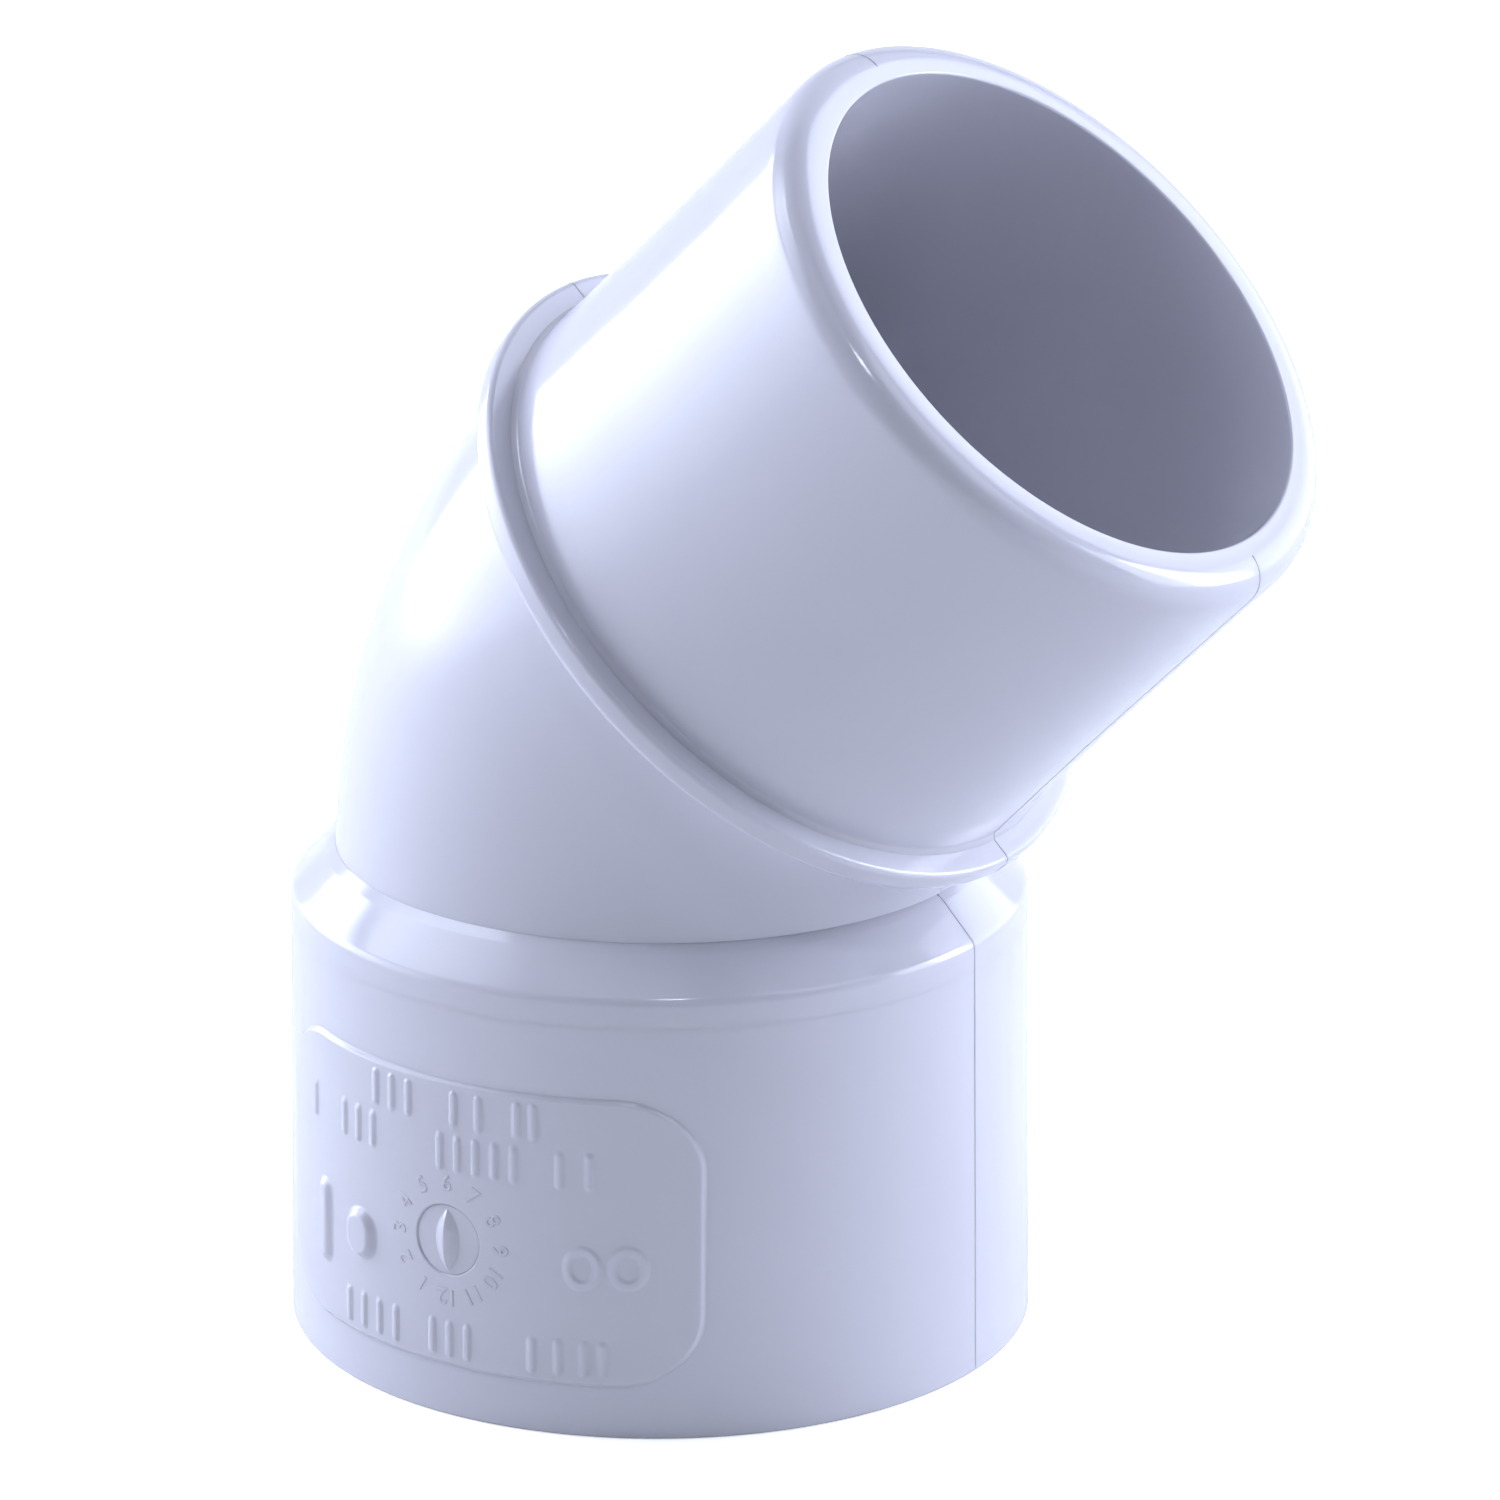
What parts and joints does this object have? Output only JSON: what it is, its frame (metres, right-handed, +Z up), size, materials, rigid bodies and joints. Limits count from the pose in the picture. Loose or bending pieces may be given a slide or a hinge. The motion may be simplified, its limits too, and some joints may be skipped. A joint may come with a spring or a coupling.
{
  "type": "pipe elbow",
  "caption": "Glossy white rigid PVC waste pipe elbow, 45 degrees, with a plain solvent-weld socket at one end and a collared spigot at the other.",
  "frame": {"origin": "centre of the socket's mouth, on the plane that the elbow stands on", "axes": "+Z up the socket's axis into the fitting; the elbow bends towards +X in the XZ plane; the marking panel faces -Y"},
  "size_m": [0.0647, 0.0465, 0.0814],
  "materials": {
    "rigid_pvc": "glossy moulded rigid PVC, cool white"
  },
  "bodies": {
    "root": {"socket": "rigid_pvc", "shoulder": "rigid_pvc", "bend": "rigid_pvc", "collar": "rigid_pvc", "spigot": "rigid_pvc", "marking_panel": "rigid_pvc", "date_dial": "rigid_pvc"}
  },
  "joints": []
}
